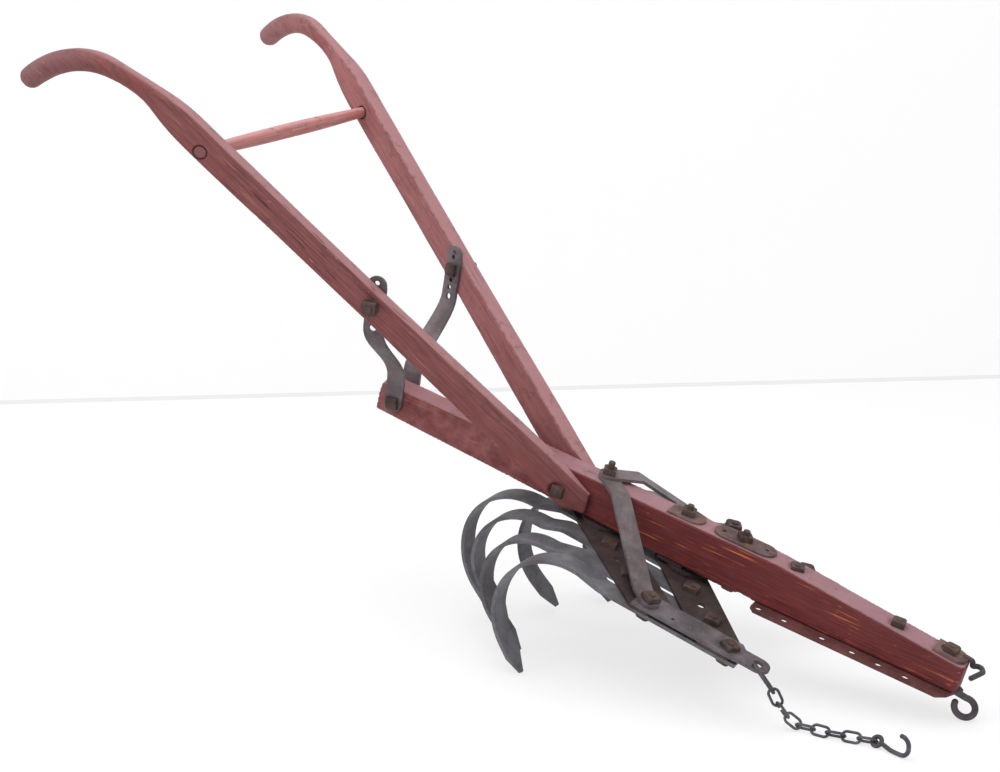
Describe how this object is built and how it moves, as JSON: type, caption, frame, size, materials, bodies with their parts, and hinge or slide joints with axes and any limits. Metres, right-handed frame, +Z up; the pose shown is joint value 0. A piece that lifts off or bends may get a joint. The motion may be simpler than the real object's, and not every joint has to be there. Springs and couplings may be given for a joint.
{
  "type": "horse-drawn cultivator",
  "caption": "Horse-drawn cultivator: wooden beam and splayed handles, iron frame with curved tines, perforated draft plate with a towing hook, and a trailing chain with a hook.",
  "frame": {"origin": "middle of the bounding box, on the floor", "axes": "+X forward, the way it is drawn; +Y to its left; +Z up"},
  "size_m": [1.7338, 0.7994, 1.1133],
  "materials": {
    "beam_wood": "worn red paint over grained wood",
    "handle_wood": "worn faded red paint, polished by hands at the grips",
    "strap_iron": "rough, dull, lightly rusted",
    "tine_iron": "dull dark grey",
    "bolt_iron": "rusty",
    "chain_iron": "dull dark grey",
    "rusty_plate": "old paint worn through to rust"
  },
  "bodies": {
    "machine": {"beam": "beam_wood", "beam_bolts": "bolt_iron", "beam_top_plates": "rusty_plate", "brace_foot_bolt": "bolt_iron", "brace_head_bolt_left": "bolt_iron", "brace_head_bolt_right": "bolt_iron", "corner_bolts_left": "bolt_iron", "corner_bolts_right": "bolt_iron", "draft_plate": "strap_iron", "frame_brace_bolt": "bolt_iron", "frame_brace_left": "strap_iron", "frame_brace_right": "strap_iron", "frame_packing": "strap_iron", "front_plate_left": "strap_iron", "front_plate_right": "strap_iron", "handle_brace_left": "strap_iron", "handle_brace_right": "strap_iron", "handle_foot_bolt": "bolt_iron", "handle_left": "handle_wood", "handle_right": "handle_wood", "handle_rung": "handle_wood", "nose_plate": "strap_iron", "rear_plate_left": "strap_iron", "rear_plate_right": "strap_iron", "side_bar_left": "strap_iron", "side_bar_right": "strap_iron", "tine_bolts_left": "bolt_iron", "tine_bolts_right": "bolt_iron", "tine_centre": "tine_iron", "tine_left_inner": "tine_iron", "tine_left_outer": "tine_iron", "tine_right_inner": "tine_iron", "tine_right_middle": "tine_iron", "tine_right_outer": "tine_iron"},
    "lead_link": {"chain_lead_link": "chain_iron"},
    "chain_upper": {"chain_links_upper": "chain_iron"},
    "chain_lower": {"chain_links_lower": "chain_iron"},
    "chain_hook": {"chain_hook": "chain_iron"}
  },
  "joints": [
    {"name": "lead_link_swing", "type": "hinge", "parent": "machine", "child": "lead_link", "pos_m": [0.52988, -0.20569, 0.11152], "axis": [0.4695, -0.8829, 0], "range_deg": [0, 12]},
    {"name": "chain_lift", "type": "hinge", "parent": "lead_link", "child": "chain_upper", "pos_m": [0.55271, -0.19354, 0.07317], "axis": [0, -1, 0], "range_deg": [0, 25]},
    {"name": "chain_turn", "type": "hinge", "parent": "chain_upper", "child": "chain_lower", "pos_m": [0.59379, -0.17356, 0.00906], "axis": [0, 0, 1], "range_deg": [-12, 12]},
    {"name": "hook_turn", "type": "hinge", "parent": "chain_lower", "child": "chain_hook", "pos_m": [0.7307, -0.16829, 0.00906], "axis": [0, 0, 1], "range_deg": [-15, 15]}
  ]
}
